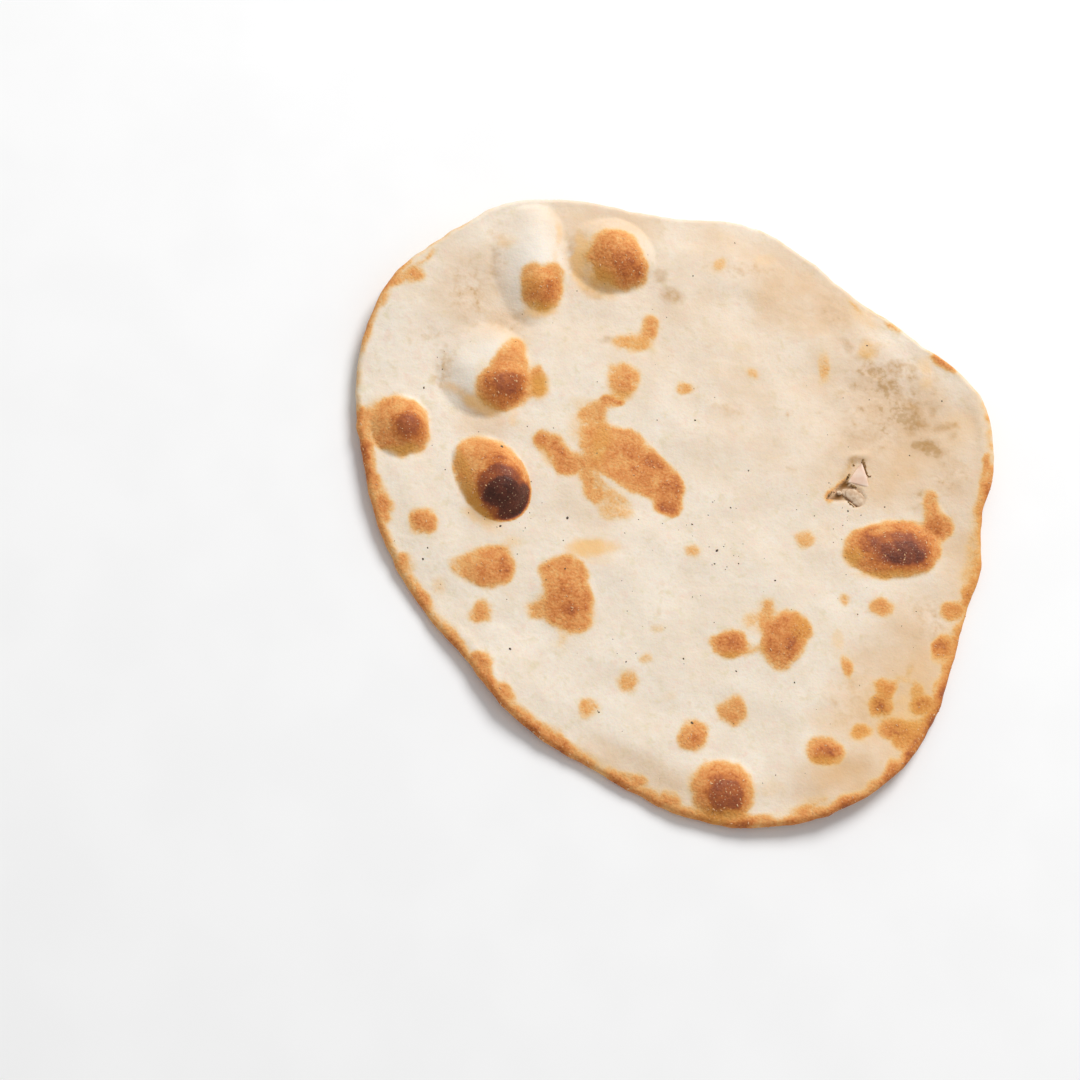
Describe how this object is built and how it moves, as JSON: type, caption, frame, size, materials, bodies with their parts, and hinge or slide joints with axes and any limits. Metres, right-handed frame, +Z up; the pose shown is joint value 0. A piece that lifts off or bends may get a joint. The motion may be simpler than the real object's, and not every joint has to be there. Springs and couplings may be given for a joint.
{
  "type": "naan",
  "caption": "Naan baked on a tandoor wall: a thin round leavened flatbread with raised blisters, browned and charred spots and a rounded, slightly lifted rim.",
  "frame": {"origin": "on the table, at the middle of the bread's outline box", "axes": "+Z up from the table through the blistered side; +X and +Y across the bread, with the large blisters near the rim at -X, +Y"},
  "size_m": [0.2328, 0.2302, 0.0125],
  "materials": {
    "baked_dough": "dry baked dough: cream, with golden to dark brown scorched spots and a browned rim"
  },
  "bodies": {
    "root": {"naan": "baked_dough"}
  },
  "joints": []
}
